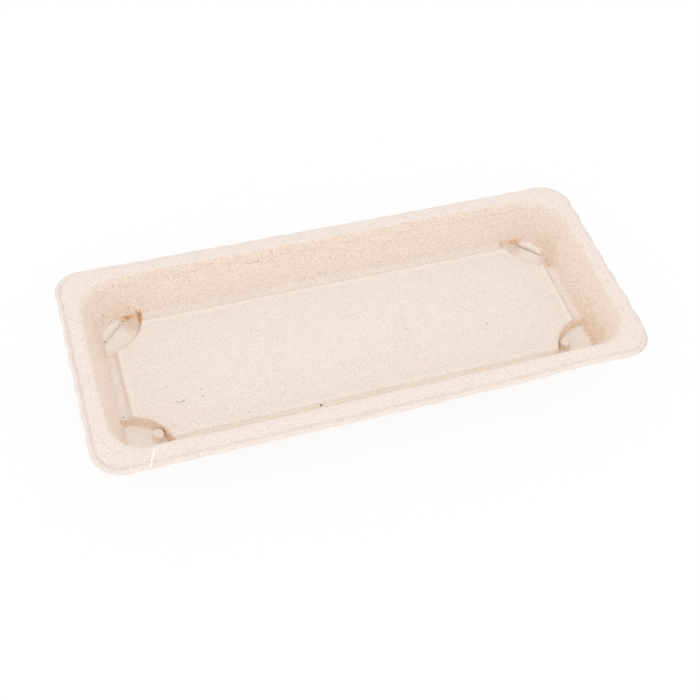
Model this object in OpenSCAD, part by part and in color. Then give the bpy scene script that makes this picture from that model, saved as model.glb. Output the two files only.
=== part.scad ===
// Shallow sushi tray pressed in one piece from bagasse pulp.
// The origin is under the middle of the tray, on the plane of its feet, with the length along X.
// The shell is a loft: hoops of points that run from the lip to the floor panel, each hoop worked out
// for one quarter and mirrored, then a second skin one pulp thickness below the first.

/* [Overall] */
// Length over the lip
length = 220; // [190:1:260]
// Width over the lip
width = 94.5; // [84:0.5:120]
// Corner radius of the lip, seen from above
lip_r = 12.5; // [9:0.5:15]

/* [Rim] */
// Reach of the turned-down lip
lip_w = 1.9; // [1.4:0.1:3]
// Fall of the turned-down lip
lip_drop = 1.4; // [0.6:0.1:2.4]
// Width of the flange between the lip and the cavity
flange_w = 5.9; // [4.5:0.1:9]
// Fall of the flange towards the lip
flange_drop = 2; // [0.5:0.1:3]
// Round over the top edge of the cavity
brow_r = 1.8; // [1.4:0.1:2.6]
// Depth of the scallops in the lip at the two ends
scallop_end = 0.5; // [0:0.05:0.8]
// Depth of the scallops in the lip along the two sides
scallop_side = 0.25; // [0:0.05:0.8]
// Sag of each long rim at its middle
rim_sag = 0.8; // [0:0.1:2]

/* [Cavity] */
// Depth from the rim to the gutter
gutter_depth = 18.8; // [13:0.2:26]
// How far each long wall leans in
side_lean = 7.1; // [3:0.1:8]
// How far each end wall leans in
end_lean = 6.4; // [3:0.1:8]
// Corner radius of the cavity at the rim
cavity_r = 15; // [9:0.5:17]
// Corner radius of the cavity at the foot of its walls
foot_r = 8; // [6:0.5:9]
// Fillet between a wall and the gutter
foot_fillet = 1.5; // [1:0.1:1.8]

/* [Floor] */
// Width of the gutter round the floor panel
gutter_w = 3.2; // [2.8:0.1:5]
// Height of the floor panel above the gutter
panel_rise = 1.8; // [1.2:0.1:2.4]
// Run of the sloping step up to the panel
riser_run = 1.3; // [1.2:0.1:2.4]
// Rounding of the step's foot and edge, and of the pockets' curved walls
panel_round = 1; // [0.5:0.1:1.2]

/* [Corner pockets] */
// Radius of a pocket's curved wall about the corner of the gutter
pocket_r = 17.5; // [16:0.1:19]
// Depth of a pocket below the gutter
pocket_depth = 2.6; // [2:0.1:4]
// How far the curved wall leans over its height
pocket_lean = 1.4; // [1:0.1:2.2]
// Leg of the straight cut across a pocket's outer corner
corner_cut = 8.1; // [7.6:0.1:9.5]
// Height of the ledge behind that cut, above the pocket's floor
ledge_h = 1.2; // [0.8:0.1:1.8]

/* [Stacking knobs] */
// Diameter of a knob at its top
knob_d = 4.1; // [3:0.1:4.6]
// Height of a knob above the pocket's floor
knob_h = 3.4; // [2:0.1:3.8]
// How far a knob's side leans out to its base
knob_lean = 0.6; // [0.3:0.1:0.9]
// Distance of a knob from the corner of the gutter, along the tray
knob_x = 12.1; // [11:0.1:13]
// Distance of a knob from the corner of the gutter, across the tray
knob_y = 7.9; // [6:0.1:9]

/* [Pulp] */
// Thickness of the pressed pulp
pulp_t = 1; // [0.7:0.05:1.2]

/* [Hidden] */
pulp = "#efe1d2";
$fn = 48;

// Heights, from the plane of the feet
pocket_z = pulp_t;
gutter_z = pocket_z + pocket_depth;
panel_z = gutter_z + panel_rise;
ledge_z = pocket_z + ledge_h;
rim_z = gutter_z + gutter_depth;

// Half sizes, seen from above
lip_a = length / 2;
lip_b = width / 2;
crease_a = lip_a - lip_w;
crease_b = lip_b - lip_w;
mouth_a = crease_a - flange_w;
mouth_b = crease_b - flange_w;
foot_a = mouth_a - end_lean;
foot_b = mouth_b - side_lean;

// Radius of a pocket's curved wall at its foot and at the gutter
pocket_foot_r = pocket_r - pocket_lean;
pocket_mid_r = pocket_foot_r + pocket_lean * pocket_depth / (pocket_depth + panel_rise);
// Rounding where the gutter drops into a pocket
tip_round = 1.1;

// Steps round one quarter: along the side, down into the pocket, along its wall, round the corner
run_n = 12;
tip_n = 2;
wall_n = 3;
arc_n = 6;
end_n = 3;
pocket_n = 2 * wall_n + arc_n;

// A value part of the way from a to b
function mix(a, b, t) = a + (b - a) * t;
// Rounding where a flat meets a slope: n + 1 points from the flat up to the slope, as [along, up]
function rounding(r, slope, n) =
    [for (i = [0:n]) let (t = slope * i / n) [r * (sin(t) - tan(slope / 2)), r * (1 - cos(t))]];

// Shares of the straight stretch of a side and of an end, where each hoop has its points
side_end = foot_a - corner_cut;
side_tip = foot_a - pocket_r - tip_round;
end_end = foot_b - corner_cut;
end_tip = foot_b - pocket_r - tip_round;
function shares(tip, last, n) = concat(
    [for (i = [0:n]) tip * i / n / last],
    [for (i = [1:tip_n + wall_n]) mix(tip, last, i / (tip_n + wall_n)) / last]);
side_shares = shares(side_tip, side_end, run_n);
end_shares = shares(end_tip, end_end, end_n);
function backwards(v) = [for (i = [len(v) - 1:-1:0]) v[i]];

// Quarter of a rounded rectangle, from the middle of the long side to the middle of the end
function quarter(a, b, r, z) = concat(
    [for (s = side_shares) [s * (a - r), b, z]],
    [for (j = [1:arc_n - 1]) [a - r + r * sin(90 * j / arc_n), b - r + r * cos(90 * j / arc_n), z]],
    [for (s = backwards(end_shares)) [a, s * (b - r), z]]);

// The lip's own quarter, with every other point of its straight sides drawn in to make the scallops
function lip_quarter() =
    let (q = quarter(lip_a, lip_b, lip_r, rim_z - flange_drop - lip_drop),
         bend = len(side_shares) - 1, end_start = len(q) - len(end_shares))
    [for (i = [0:len(q) - 1]) let (odd = i % 2)
        [q[i].x - (i > end_start ? scallop_end * odd : 0),
         q[i].y - (i < bend ? scallop_side * odd : 0),
         q[i].z]];

// Section of the brow: an arc between the flange's slope and the wall, as [inward, height] points
mean_lean = (side_lean + end_lean) / 2;
wall_angle = atan(gutter_depth / mean_lean);
flange_angle = atan(flange_drop / flange_w);
brow_turn = wall_angle + flange_angle;
brow_tangent = brow_r * tan(brow_turn / 2);
brow_n = 4;
brow_arc = [for (i = [0:brow_n]) let (t = brow_turn * i / brow_n - flange_angle)
    [brow_r * (sin(t) + sin(flange_angle)) - brow_tangent * cos(flange_angle),
     brow_r * (cos(t) - cos(flange_angle)) - brow_tangent * sin(flange_angle)]];

// Quarter hoops of the rim and the walls
function fall(d, z) = quarter(lip_a - d, lip_b - d, mix(lip_r, cavity_r, d / (lip_w + flange_w)), z);
function walls(inward, z) = let (u = (rim_z - z) / gutter_depth)
    quarter(mouth_a - inward - (end_lean - mean_lean) * u, mouth_b - inward - (side_lean - mean_lean) * u,
            mix(cavity_r, foot_r, u), z);
// Distance of a hoop on either side of the crease between the lip and the flange
crease_gap = 0.5;
rim_hoops = [
    lip_quarter(),
    fall(lip_w - crease_gap, rim_z - flange_drop - lip_drop * crease_gap / lip_w),
    fall(lip_w + crease_gap, rim_z - flange_drop + flange_drop / flange_w * crease_gap),
    for (p = brow_arc) walls(p.x, rim_z + p.y),
    for (third = [1, 2]) walls(mean_lean * third / 3, mix(rim_z, gutter_z, third / 3))];

// A point given by how far it lies inside the gutter's corner: inward along y, on a circle of radius r
function on_circle(r, inward, z, swap) =
    let (along = sqrt(r * r - inward * inward))
    swap ? [foot_a - inward, foot_b - along, z] : [foot_a - along, foot_b - inward, z];

// One stretch of a floor hoop outside the pocket, up to a circle of radius r
function run_out(d, r, n, z, swap) =
    let (end = on_circle(r, d, z, swap))
    [for (i = [0:n]) swap ? [end.x, end.y * i / n, z] : [end.x * i / n, end.y, z]];

// A floor hoop: d and z outside the pocket up to r_out, one point at r_mid and z_mid, then its path
// in the pocket
function floor_hoop(d, z, r_out, r_mid, z_mid, path) = concat(
    run_out(d, r_out, run_n, z, false),
    [on_circle(r_mid, mix(d, foot_b - path[0].y, 0.5), z_mid, false)],
    path,
    [on_circle(r_mid, mix(d, foot_a - path[pocket_n].x, 0.5), z_mid, true)],
    backwards(run_out(d, r_out, end_n, z, true)));

// Paths in the pocket, each from the tip by the long wall to the tip by the end wall: along the curved wall
function arc_path(r, inward, z) =
    let (first = asin(inward / r))
    [for (j = [0:pocket_n]) let (t = mix(first, 90 - first, j / pocket_n))
        [foot_a - r * cos(t), foot_b - r * sin(t), z]];
// Where those tips lie along the long wall and along the end wall
tip_x = foot_a - pocket_foot_r;
tip_y = foot_b - pocket_foot_r;
// Along the outer walls and round their corner
function wall_path(inset_a, inset_b, r, z_side, z_corner) =
    let (a = foot_a - inset_a, b = foot_b - inset_b, z_end = mix(z_side, z_corner, 0.5))
    concat(
        [for (j = [0:wall_n]) [mix(tip_x, a - r, j / wall_n), b, j == wall_n ? z_end : z_side]],
        [for (j = [1:arc_n - 1]) let (t = 90 * j / arc_n)
            [a - r + r * sin(t), b - r + r * cos(t), z_corner]],
        [for (j = [wall_n:-1:0]) [a, mix(tip_y, b - r, j / wall_n), j == wall_n ? z_end : z_side]]);
// Along the outer walls and straight across their corner
function cut_path(inset_a, inset_b, leg, z_side, z_corner) =
    let (a = foot_a - inset_a, b = foot_b - inset_b, z_end = mix(z_side, z_corner, 0.5))
    concat(
        [for (j = [0:wall_n]) [mix(tip_x, a - leg, j / wall_n), b, j == wall_n ? z_end : z_side]],
        [for (j = [1:arc_n - 1]) [a - leg + leg * j / arc_n, b - leg * j / arc_n, z_corner]],
        [for (j = [wall_n:-1:0]) [a, mix(tip_y, b - leg, j / wall_n), j == wall_n ? z_end : z_side]]);

// How far the outer walls lean in below the gutter, and the fillet at their foot
pocket_in_a = end_lean * pocket_depth / gutter_depth;
pocket_in_b = side_lean * pocket_depth / gutter_depth;
pocket_fillet = 0.7;
// Share of a pocket's floor that the step behind the straight cut takes up
step_share = 0.12;

// Sections of the fillet at the foot of the walls, of the step up to the panel and of the curved walls
riser_angle = atan(panel_rise / riser_run);
pocket_angle = atan((pocket_depth + panel_rise) / pocket_lean);
wall_bend = rounding(foot_fillet, wall_angle, 2);
riser_foot = rounding(panel_round, riser_angle, 1);
riser_edge = rounding(panel_round, riser_angle, 2);
pocket_foot = rounding(panel_round, pocket_angle, 1);
pocket_edge = rounding(panel_round, pocket_angle, 2);

// A hoop that dips from the gutter into the pockets
tip_drop = 1;
function gutter_hoop(inset, z, path) =
    floor_hoop(inset, z, pocket_mid_r + tip_round, pocket_mid_r, min(z, gutter_z) - tip_drop, path);
// A hoop on the edge of the panel, which follows the curved walls on circles of radius r
function panel_hoop(inset, z, r, z_arc) =
    floor_hoop(inset, z, r + tip_round, r + tip_round / 3, mix(z, z_arc, 0.5),
               arc_path(r, inset + tip_round / 2, z_arc));

outer_path = cut_path(pocket_in_a + pocket_fillet, pocket_in_b + pocket_fillet,
    corner_cut - 2 * pocket_fillet, pocket_z, ledge_z);
inner_inset = gutter_w + riser_foot[0].x;
inner_path = arc_path(pocket_foot_r + pocket_foot[0].x, inner_inset, pocket_z);
function pocket_floor(share) =
    [for (i = [0:pocket_n]) let (p = mix(outer_path[i], inner_path[i], share)) [p.x, p.y, pocket_z]];
floor_hoops = [
    gutter_hoop(-wall_bend[2].x, gutter_z + wall_bend[2].y,
        wall_path(pocket_in_a / 2, pocket_in_b / 2, foot_r,
            gutter_z - pocket_depth / 2, gutter_z - ledge_h / 2)),
    gutter_hoop(-wall_bend[1].x, gutter_z + wall_bend[1].y,
        wall_path(pocket_in_a, pocket_in_b, foot_r,
            pocket_z + pocket_fillet, ledge_z + pocket_fillet / 2)),
    gutter_hoop(-wall_bend[0].x, gutter_z, outer_path),
    gutter_hoop(mix(-wall_bend[0].x, inner_inset, 1 / 3), gutter_z, pocket_floor(step_share)),
    gutter_hoop(mix(-wall_bend[0].x, inner_inset, 2 / 3), gutter_z, pocket_floor(mix(step_share, 1, 0.5))),
    gutter_hoop(inner_inset, gutter_z, inner_path),
    gutter_hoop(gutter_w + riser_foot[1].x, gutter_z + riser_foot[1].y,
        arc_path(pocket_foot_r + pocket_foot[1].x, gutter_w + riser_foot[1].x, pocket_z + pocket_foot[1].y)),
    for (i = [2:-1:0]) panel_hoop(gutter_w + riser_run - riser_edge[i].x, panel_z - riser_edge[i].y,
        pocket_r - pocket_edge[i].x, panel_z - pocket_edge[i].y)];

// The whole hoop from its quarter, clockwise from the middle of the back rim
function hoop(q) =
    let (last = len(q) - 1)
    concat(
        [for (i = [0:last - 1]) q[i]],
        [for (i = [last:-1:1]) [q[i].x, -q[i].y, q[i].z]],
        [for (i = [0:last - 1]) [-q[i].x, -q[i].y, q[i].z]],
        [for (i = [last:-1:1]) [-q[i].x, q[i].y, q[i].z]]);

// Sag of the long rims, which fades out towards the floor and the corners
function sagged(p) =
    let (high = max(0, (p.z - panel_z) / (rim_z - panel_z)), along = p.x / lip_a)
    [p.x, p.y, p.z - rim_sag * high * max(0, 1 - along * along) * min(1, abs(p.y) / foot_b)];

quarters = concat(rim_hoops, floor_hoops);
top_skin = [for (q = quarters) [for (p = hoop(q)) sagged(p)]];
hoop_n = len(top_skin);
point_n = len(top_skin[0]);

// The underside: each point moved along the skin's normal by one pulp thickness, or as far as takes
// it one thickness down where the floor is level
function unit(v) = v / norm(v);
function normal_at(k, i) =
    let (p = top_skin[k][i], next = top_skin[k][(i + 1) % point_n],
         previous = top_skin[k][(i + point_n - 1) % point_n],
         across = k == 0 ? top_skin[1][i] - p : k == hoop_n - 1 ? p - top_skin[k - 1][i]
             : unit(top_skin[k + 1][i] - p) + unit(p - top_skin[k - 1][i]))
    unit(cross(across, unit(next - p) + unit(p - previous)));
function is_level(p) = p.z == pocket_z || p.z == gutter_z || p.z == panel_z;
function under_point(k, i) =
    let (p = top_skin[k][i], normal = normal_at(k, i))
    p - normal * pulp_t / (is_level(p) ? normal.z : 1);
under_skin = [for (k = [0:hoop_n - 1]) [for (i = [0:point_n - 1]) under_point(k, i)]];

// Closed shell from the two skins
function flat_list(v) = [for (row = v) each row];
function strip(from, to) =
    [for (i = [0:point_n - 1]) let (j = (i + 1) % point_n) [from + i, from + j, to + j, to + i]];
module shell() {
    skin_points = hoop_n * point_n;
    centre = 2 * skin_points;
    top_inner = (hoop_n - 1) * point_n;
    under_inner = skin_points + top_inner;
    points = concat(flat_list(top_skin), flat_list(under_skin), [[0, 0, panel_z], [0, 0, panel_z - pulp_t]]);
    faces = concat(
        [for (k = [0:hoop_n - 2]) each strip(k * point_n, (k + 1) * point_n)],
        [for (k = [0:hoop_n - 2]) each strip(skin_points + (k + 1) * point_n, skin_points + k * point_n)],
        strip(skin_points, 0),
        [for (i = [0:point_n - 1]) [top_inner + i, top_inner + (i + 1) % point_n, centre]],
        [for (i = [0:point_n - 1]) [under_inner + (i + 1) % point_n, under_inner + i, centre + 1]]);
    polyhedron(points, faces);
}

// Stacking knob that stands in a front pocket, and the hollow pressed up into it from below
module knob_body(foot, top, inset) {
    translate([0, 0, foot])
        cylinder(h = top - foot, r1 = knob_d / 2 + knob_lean - inset, r2 = knob_d / 2 - inset);
}
module at_knobs() {
    for (side = [-1, 1])
        translate([side * (foot_a - knob_x), knob_y - foot_b, 0]) children();
}

module tray() {
    color(pulp)
        difference() {
            union() {
                shell();
                at_knobs() knob_body(pocket_z / 2, pocket_z + knob_h, 0);
            }
            at_knobs() knob_body(-pulp_t, pocket_z + knob_h - pulp_t, pulp_t);
        }
}

tray();
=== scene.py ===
import math

import bmesh
import bpy
from mathutils import Matrix, Vector, noise


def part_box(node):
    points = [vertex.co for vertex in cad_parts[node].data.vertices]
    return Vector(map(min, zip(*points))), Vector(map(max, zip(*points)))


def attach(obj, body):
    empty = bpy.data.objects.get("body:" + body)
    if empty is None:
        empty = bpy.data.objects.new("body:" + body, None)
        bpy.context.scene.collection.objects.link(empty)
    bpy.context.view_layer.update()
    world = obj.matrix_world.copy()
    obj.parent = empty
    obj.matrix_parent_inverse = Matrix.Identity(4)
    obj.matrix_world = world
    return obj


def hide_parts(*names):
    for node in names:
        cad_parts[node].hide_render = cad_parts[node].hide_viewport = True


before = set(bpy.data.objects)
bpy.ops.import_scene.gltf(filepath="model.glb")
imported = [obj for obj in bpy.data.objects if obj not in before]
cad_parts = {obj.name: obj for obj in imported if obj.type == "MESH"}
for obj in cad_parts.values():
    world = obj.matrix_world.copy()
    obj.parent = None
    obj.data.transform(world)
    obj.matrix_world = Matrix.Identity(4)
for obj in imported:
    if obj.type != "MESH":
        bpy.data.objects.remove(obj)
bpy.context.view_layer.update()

# Sizes of the tray, in metres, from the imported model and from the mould
MM = 0.001
low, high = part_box("tray")
LIP_A = high.x
LIP_B = high.y
PULP = 1 * MM
LIP_R = 12.5 * MM
LIP_W = 1.9 * MM
LIP_DROP = 1.4 * MM
FLANGE_W = 5.9 * MM
FLANGE_DROP = 2 * MM
BROW_R = 1.8 * MM
GUTTER_DEPTH = 18.8 * MM
SIDE_LEAN = 7.1 * MM
END_LEAN = 6.4 * MM
CAVITY_R = 15 * MM
FOOT_R = 8 * MM
FOOT_FILLET = 1.5 * MM
GUTTER_W = 3.2 * MM
PANEL_RISE = 1.8 * MM
RISER_RUN = 1.3 * MM
PANEL_ROUND = 1.25 * MM
POCKET_R = 17.5 * MM
POCKET_DEPTH = 2.6 * MM
POCKET_LEAN = 1.4 * MM
POCKET_FILLET = 0.7 * MM
CORNER_CUT = 8.1 * MM
LEDGE_H = 1.2 * MM
TIP_ROUND = 1.1 * MM
RIM_SAG = 0.8 * MM
KNOB_D = 4.1 * MM
KNOB_H = 3.4 * MM
KNOB_LEAN = 0.6 * MM
KNOB_X = 12.1 * MM
KNOB_Y = 7.9 * MM
KNOB_FILLET = 0.3 * MM
KNOB_EDGE = 0.5 * MM
# Rows of a knob's side, from its foot up: share of the way to its rounded edge, share of its fillet that is
# left in its width there, and share of the fillet by which the row is lifted
KNOB_ROWS = [(0, 0.3, 0.25), (0, 0, 1), (0.3, 0, 1), (0.6, 0, 1), (1, 0, 1)]
KNOB_EDGE_TURNS = [math.radians(turn) for turn in (30, 60, 90)]
KNOB_TOP_SHARES = (0.6, 0.25)
# The fillet narrows to a share of itself where a knob's foot climbs the pocket's curved wall
KNOB_FILLET_SHARE = 0.25
KNOB_FILLET_CLIMB = 1.5 * MM
# Widths of the ring round a knob's foot where the floor is made finer and where it is evened out
KNOB_FINE_RING = 1.4 * MM
KNOB_EVEN_RING = 1.2 * MM
# Scallops that the edge of the lip was left with, and the unevenness of the pressed pulp
SCALLOP_END = 0.5 * MM
SCALLOP_SIDE = 0.25 * MM
SCALLOP_PITCH = 11.5 * MM
SCALLOP_START = 4 * MM
SCALLOP_REACH = 1.5 * LIP_W
# Share of the corner's radius over which the scallops run on into it and fade
SCALLOP_PAST = 0.6
# The crease inside the lip, and how far the corners of the mouth are softened and up to where
GROOVE_DEPTH = 0.2 * MM
GROOVE_W = 0.4 * MM
GROOVE_EASE = 0.8 * MM
MOUTH_EASE = 0.7 * MM
MOUTH_REACH = 5.5 * MM
# How far the lip's edge is drawn in all round, and the rim let down, to leave room for the unevenness
EDGE_ROOM = 0.25 * MM
RIM_ROOM = 0.12 * MM
# Where the rim was pushed out or in: x and y of the place, reach and push, in mm
RIM_PUSHES = [(-107, 44, 16, 0.8), (78, -47, 30, -0.8)]
PUSH_DEPTH = 8 * MM
# Swells of the sheet: size in mm, height in mm where they are faint and where they are strong, and a shift
# that keeps their noises apart. The first two are strong at the rim and the last one in the pockets.
BROAD_SWELL = (17, 0.05, 0.22, (0, 0, 0))
MIDDLING_SWELL = (5.5, 0.05, 0.11, (7, 3, 1))
FINE_SWELL = (2.2, 0.02, 0.16, (1, 9, 4))
# Smooth ring round a knob, and the height over which the sheet above the feet grows uneven
KNOB_CLEAR = 1.2 * MM
FLAT_EASE = 2 * MM

# Colours of the pulp, from fresh to browned, and of what is pressed into it. The palest carries painted
# light, the browner ones mostly painted shade
PALE = (0.98, 0.92, 0.85)
CREAM = (0.88, 0.768, 0.695)
TAN = (0.872, 0.742, 0.632)
BROWN = (0.81, 0.59, 0.42)
DEEP_BROWN = (0.62, 0.36, 0.19)
RED_BROWN = (0.38, 0.17, 0.07)
# Shades between the palest and the brownest pulp, by how brown it is, and that of fresh pulp
MIDDLE_SHADES = [(0.2, CREAM), (0.4, TAN), (0.64, BROWN), (0.84, DEEP_BROWN)]
FRESH_SHADE = 0.2
PINKISH = (0.90, 0.755, 0.70)
YELLOWISH = (0.87, 0.775, 0.655)
GRIT = (0.16, 0.10, 0.07)
SCRATCH = (0.99, 0.97, 0.94)
# Browning is a number added to the shade of fresh pulp, and on the walls and steps it is painted light and
# shade.
# The first number below is the painted shade of a steep wall, and the shares of it on each side are for the
# wall low down and high up, as each wall is lit. The other two numbers of a side are the painted shade in the
# crease at the wall's foot and on the step up to the panel, where below 0 it is painted light.
WALL_PAINTED_SHADE = 0.13
SIDE_PAINTED_SHADING = {
    "left": (0.45, 1, 0.36, 0.07),
    "right": (1.5, 1.25, 0.16, 0.03),
    "front": (0.9, 1.5, 0.04, -0.2),
    "back": (0.9, 1.5, 0.24, 0.02),
}
# Browning in each corner: painted shade on the walls' round corner, and staining with painted shade on the
# pocket's curved wall towards the end and towards the side, and the share of that which is left at the top of
# the curved wall
CORNER_SHADE_AND_STAIN = {
    ("left", "front"): (0.02, 0.26, 0.36, 1),
    ("right", "front"): (0.12, 0.27, 0.27, 0.26),
    ("left", "back"): (0.1, 0.04, 0.38, 1),
    ("right", "back"): (0.06, 0.04, 0.1, 1),
}
# How much paler than fresh pulp the gutter, the panel, its edge and the pockets' floors are
# Painted light: the gutter and the pockets' floors are lifted against the shade they lie in, and the panel's
# rounded edge gets a painted highlight
GUTTER_PAINTED_LIGHT = 0.06
PANEL_PALE = 0.025
PANEL_EDGE_PAINTED_HIGHLIGHT = 0.09
POCKET_PAINTED_LIGHT = 0.16
# Painted shade round a knob's foot, and a painted shadow, brown and dim, along the foot of a back pocket's
# step
KNOB_PAINTED_SHADE = 0.15
STEP_PAINTED_SHADOW_BROWN = {"left": 0.2, "right": 0.3}
STEP_PAINTED_SHADOW_DIM = {"left": 0.12, "right": 0.35}
# Painted shade in the crease inside the lip on each side, and on the lip's edge at the right end
CREASE_PAINTED_SHADE = {"left": 0.13, "right": 0.04, "front": 0.09, "back": 0.03}
EDGE_PAINTED_SHADE = 0.2
# Share of its browning and painted shade that the underside has
UNDER_SHARE = 0.3
# How upright a face is, as the height of its normal, where its painted shade starts and where it is full
STEEP_START = 0.9
STEEP_FULL = 0.55
# Noises of the pulp: size of their features, detail, roughness and a shift that keeps them apart
NOISES = {
    "broad": (16 * MM, 2.0, 0.5, 0.0),
    "blotch": (4 * MM, 2.0, 0.6, 0.11),
    "ragged": (1.6 * MM, 3.0, 0.6, 0.3),
    "grain": (0.8 * MM, 2.0, 0.7, 0.7),
    "fine": (0.5 * MM, 1.0, 0.5, 0.9),
}
FIBRES = (0.3 * MM, 2.0, 0.6, 0.5)
# How far fibres turn from place to place, in radians, and how thin the noise is cut along them
FIBRE_TURN = 5.0
FIBRE_STRETCH = (0.14, 1.0, 1.0)
# The browning from which pulp counts as browned, and how far noises change shade and lightness on fresh
# and on browned pulp. Ragged edges show only between the two brownings of RAGGED_FROM.
BROWNED = 0.3
RAGGED_FROM = (0.2, 0.45)
RAGGED_SHADE = (0.02, 0.2)
BLOTCH_SHADE = (0.012, 0.05)
GRAIN_SHADE = (0.006, 0.02)
GRAIN_LIGHT = (0.07, 0.11)
FINE_LIGHT = (0.14, 0.28)
FIBRE_LIGHT = 0.03
LIGHTEST = 1.07
# How strong the pink and the yellow cast get
PINK_CAST = 0.22
YELLOW_CAST = 0.2
# Grains: pitch, size and the share that shows. Grit is dark, and the others only dim the pulp.
GRIT_DOTS = (4.2 * MM, 0.32 * MM, 0.2)
WALL_DOTS = (1.7 * MM, 0.26 * MM, 0.35)
DUST_DOTS = (1.1 * MM, 0.24 * MM, 0.25)
GRIT_STRENGTH = 0.45
WALL_DOTS_DIM = 0.18
DUST_DIM = 0.07
# Brownings between which a wall's own grains and its line below the brow appear
WALL_DOTS_FROM = (0.05, 0.2)
STREAK_FROM = (0.05, 0.12)
# Core of a grain and of a mark as shares of their reach, the faintest grain, and how deep a mark goes
DOT_CORE = 0.4
MARK_CORE = 0.55
FAINTEST_DOT = 0.25
MARK_DEPTH = 0.9 * MM
# Size and reach of the wavering of the marks' outlines
WAVER_SIZE = 1.3 * MM
WAVER_REACH = 0.7 * MM
# Height and strength of the tooth, the shares of it that the coarser noise, the fibres and the wires have,
# and the pitch of the wire mesh that the underside was laid on
TOOTH_HEIGHT = 0.035 * MM
TOOTH_STRENGTH = 0.8
RAGGED_TOOTH = 0.8
FIBRE_TOOTH = 0.25
WIRE_TOOTH = 0.7
WIRE_PITCH = 0.9 * MM
ROUGHNESS = 0.88
SPECULAR = 0.25
# Marks on the upper side: middle in mm, length, width, turn in degrees and strength
DARK_MARKS = [
    (-20.9, 40.4, 21.2, 0.5, 0.4, 0, 0.35),
    (-26.5, 39.6, 21.1, 0.5, 0.4, 20, 0.35),
    (-23.4, 38.5, 19.6, 0.7, 0.5, 0, 0.6),
    (-33.7, 37.4, 16.4, 0.5, 0.4, 0, 0.4),
    (-29.1, 37.3, 16.4, 0.7, 0.5, 30, 0.65),
    (-20.6, 35.9, 12.6, 0.5, 0.4, 0, 0.4),
    (-10.4, 33, 5.3, 0.5, 0.4, 0, 0.4),
    (-83.1, 33.8, 7.4, 0.9, 0.6, 30, 0.7),
    (-83.4, 35.1, 10.7, 0.5, 0.4, 0, 0.5),
    (-93.3, 32, 7.7, 0.6, 0.5, 0, 0.5),
    (-87.4, 37.5, 17.1, 0.5, 0.4, 0, 0.4),
    (-96.9, 28.4, 9.2, 0.5, 0.5, 0, 0.5),
    (-85.9, 31.7, 1.9, 0.9, 0.5, 0, 0.7),
    (-94.7, 23.8, 1.9, 0.9, 0.7, 30, 0.8),
    (-64.2, -13.3, 5.4, 0.9, 0.7, 0, 0.9),
    (-64.2, -10.1, 5.4, 0.8, 0.5, 40, 0.6),
    (-49.4, -24.8, 5.4, 0.7, 0.6, 0, 0.6),
    (-52.5, -27.9, 5.2, 0.6, 0.4, 0, 0.4),
    (-76.5, -5.7, 5.4, 0.8, 0.6, 0, 0.6),
    (-78.2, -6.4, 5.4, 0.9, 0.5, 60, 0.55),
    (-22, -28.3, 4.7, 1.2, 0.8, 0, 1),
    (-24.1, -41.4, 20.9, 0.6, 0.5, 0, 0.4),
    (103.7, -12, 21.9, 0.5, 0.4, 0, 0.4),
    (103.5, -18.4, 21.9, 0.5, 0.4, 0, 0.4),
    (-102.2, 24.1, 21.4, 0.6, 0.4, 0, 0.4),
    (-33, 30, 3.6, 0.5, 0.4, 20, 0.35),
    (-31, 19.5, 5.4, 0.6, 0.4, 60, 0.35),
    (29, 14, 5.4, 0.6, 0.4, 30, 0.35),
    (8, -1, 5.4, 0.6, 0.4, 40, 0.35),
    (55, -8, 5.4, 0.6, 0.5, 0, 0.35),
    (-94.7, -13.7, 3.6, 0.8, 0.7, 70, 0.9),
    (-73.8, -13.7, 5.4, 2.5, 0.45, -22, 0.7),
    (-71.9, -13.6, 5.4, 2.6, 0.45, 30, 0.8),
    (22.5, -3, 5.4, 4.5, 0.3, -50, 0.35),
    (55.3, -8.5, 5.4, 1.1, 0.5, 30, 0.7),
    (46, 0.5, 5.4, 0.7, 0.5, 0, 0.45),
    (43.7, -11.3, 5.4, 0.7, 0.5, 0, 0.45),
    (62.7, -28.8, 5, 0.9, 0.7, 0, 0.8),
]
PALE_MARKS = [
    (-88.2, -41.9, 21.4, 5, 0.9, 63, 0.9),
    (-89.2, -44, 20.6, 5, 0.9, 64, 0.9),
    (-90.1, -46, 19.7, 4.6, 0.9, 66, 0.9),
]
# The line below the brow of the back wall: its height, how far it reaches down and up from there, how far it
# wavers with the broad noise and with the blotches, and its weakest and strongest browning
STREAK_Z = 17.3 * MM
STREAK_DOWN = 0.5 * MM
STREAK_UP = 0.35 * MM
STREAK_WAVERS = {"broad": 0.8 * MM, "blotch": 0.35 * MM}
STREAK_BROWN = (0.06, 0.22)

# Camera, floor and light: places and sizes in metres, the lens in millimetres
CAMERA_AT = Vector((-0.10939, -0.23669, 0.34866))
AIM = Vector((-0.008667, -0.018329, 0.0224))
CAMERA_ROLL = math.radians(8.214)
LENS = 55.44
FLOOR_SIZE = 6
FLOOR_GAP = 0.05 * MM
FLOOR_COLOUR = (0.98, 0.98, 0.98)
FLOOR_GLOW = 0.85
HORIZON_LIGHT = 1.25
ZENITH_LIGHT = 0.85
WHITE = (1, 1, 1, 1)
LAMP_AT = Vector((-0.5, -0.8, 1.1))
LAMP_SIZE = 0.9
LAMP_WATTS = 1.6

# Heights above the plane of the feet
POCKET_Z = PULP
LEDGE_Z = POCKET_Z + LEDGE_H
GUTTER_Z = POCKET_Z + POCKET_DEPTH
PANEL_Z = GUTTER_Z + PANEL_RISE
RIM_Z = GUTTER_Z + GUTTER_DEPTH

# Plain width over which one finish or form goes over into the next
EASE = 1 * MM

# Half sizes, seen from above
MOUTH_A = LIP_A - LIP_W - FLANGE_W
MOUTH_B = LIP_B - LIP_W - FLANGE_W
FOOT_A = MOUTH_A - END_LEAN
FOOT_B = MOUTH_B - SIDE_LEAN
POCKET_FOOT_R = POCKET_R - POCKET_LEAN
POCKET_MID_R = POCKET_FOOT_R + POCKET_LEAN * POCKET_DEPTH / (POCKET_DEPTH + PANEL_RISE)
# How far inward from the walls' feet the edge of the panel lies
PANEL_EDGE = GUTTER_W + RISER_RUN

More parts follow.
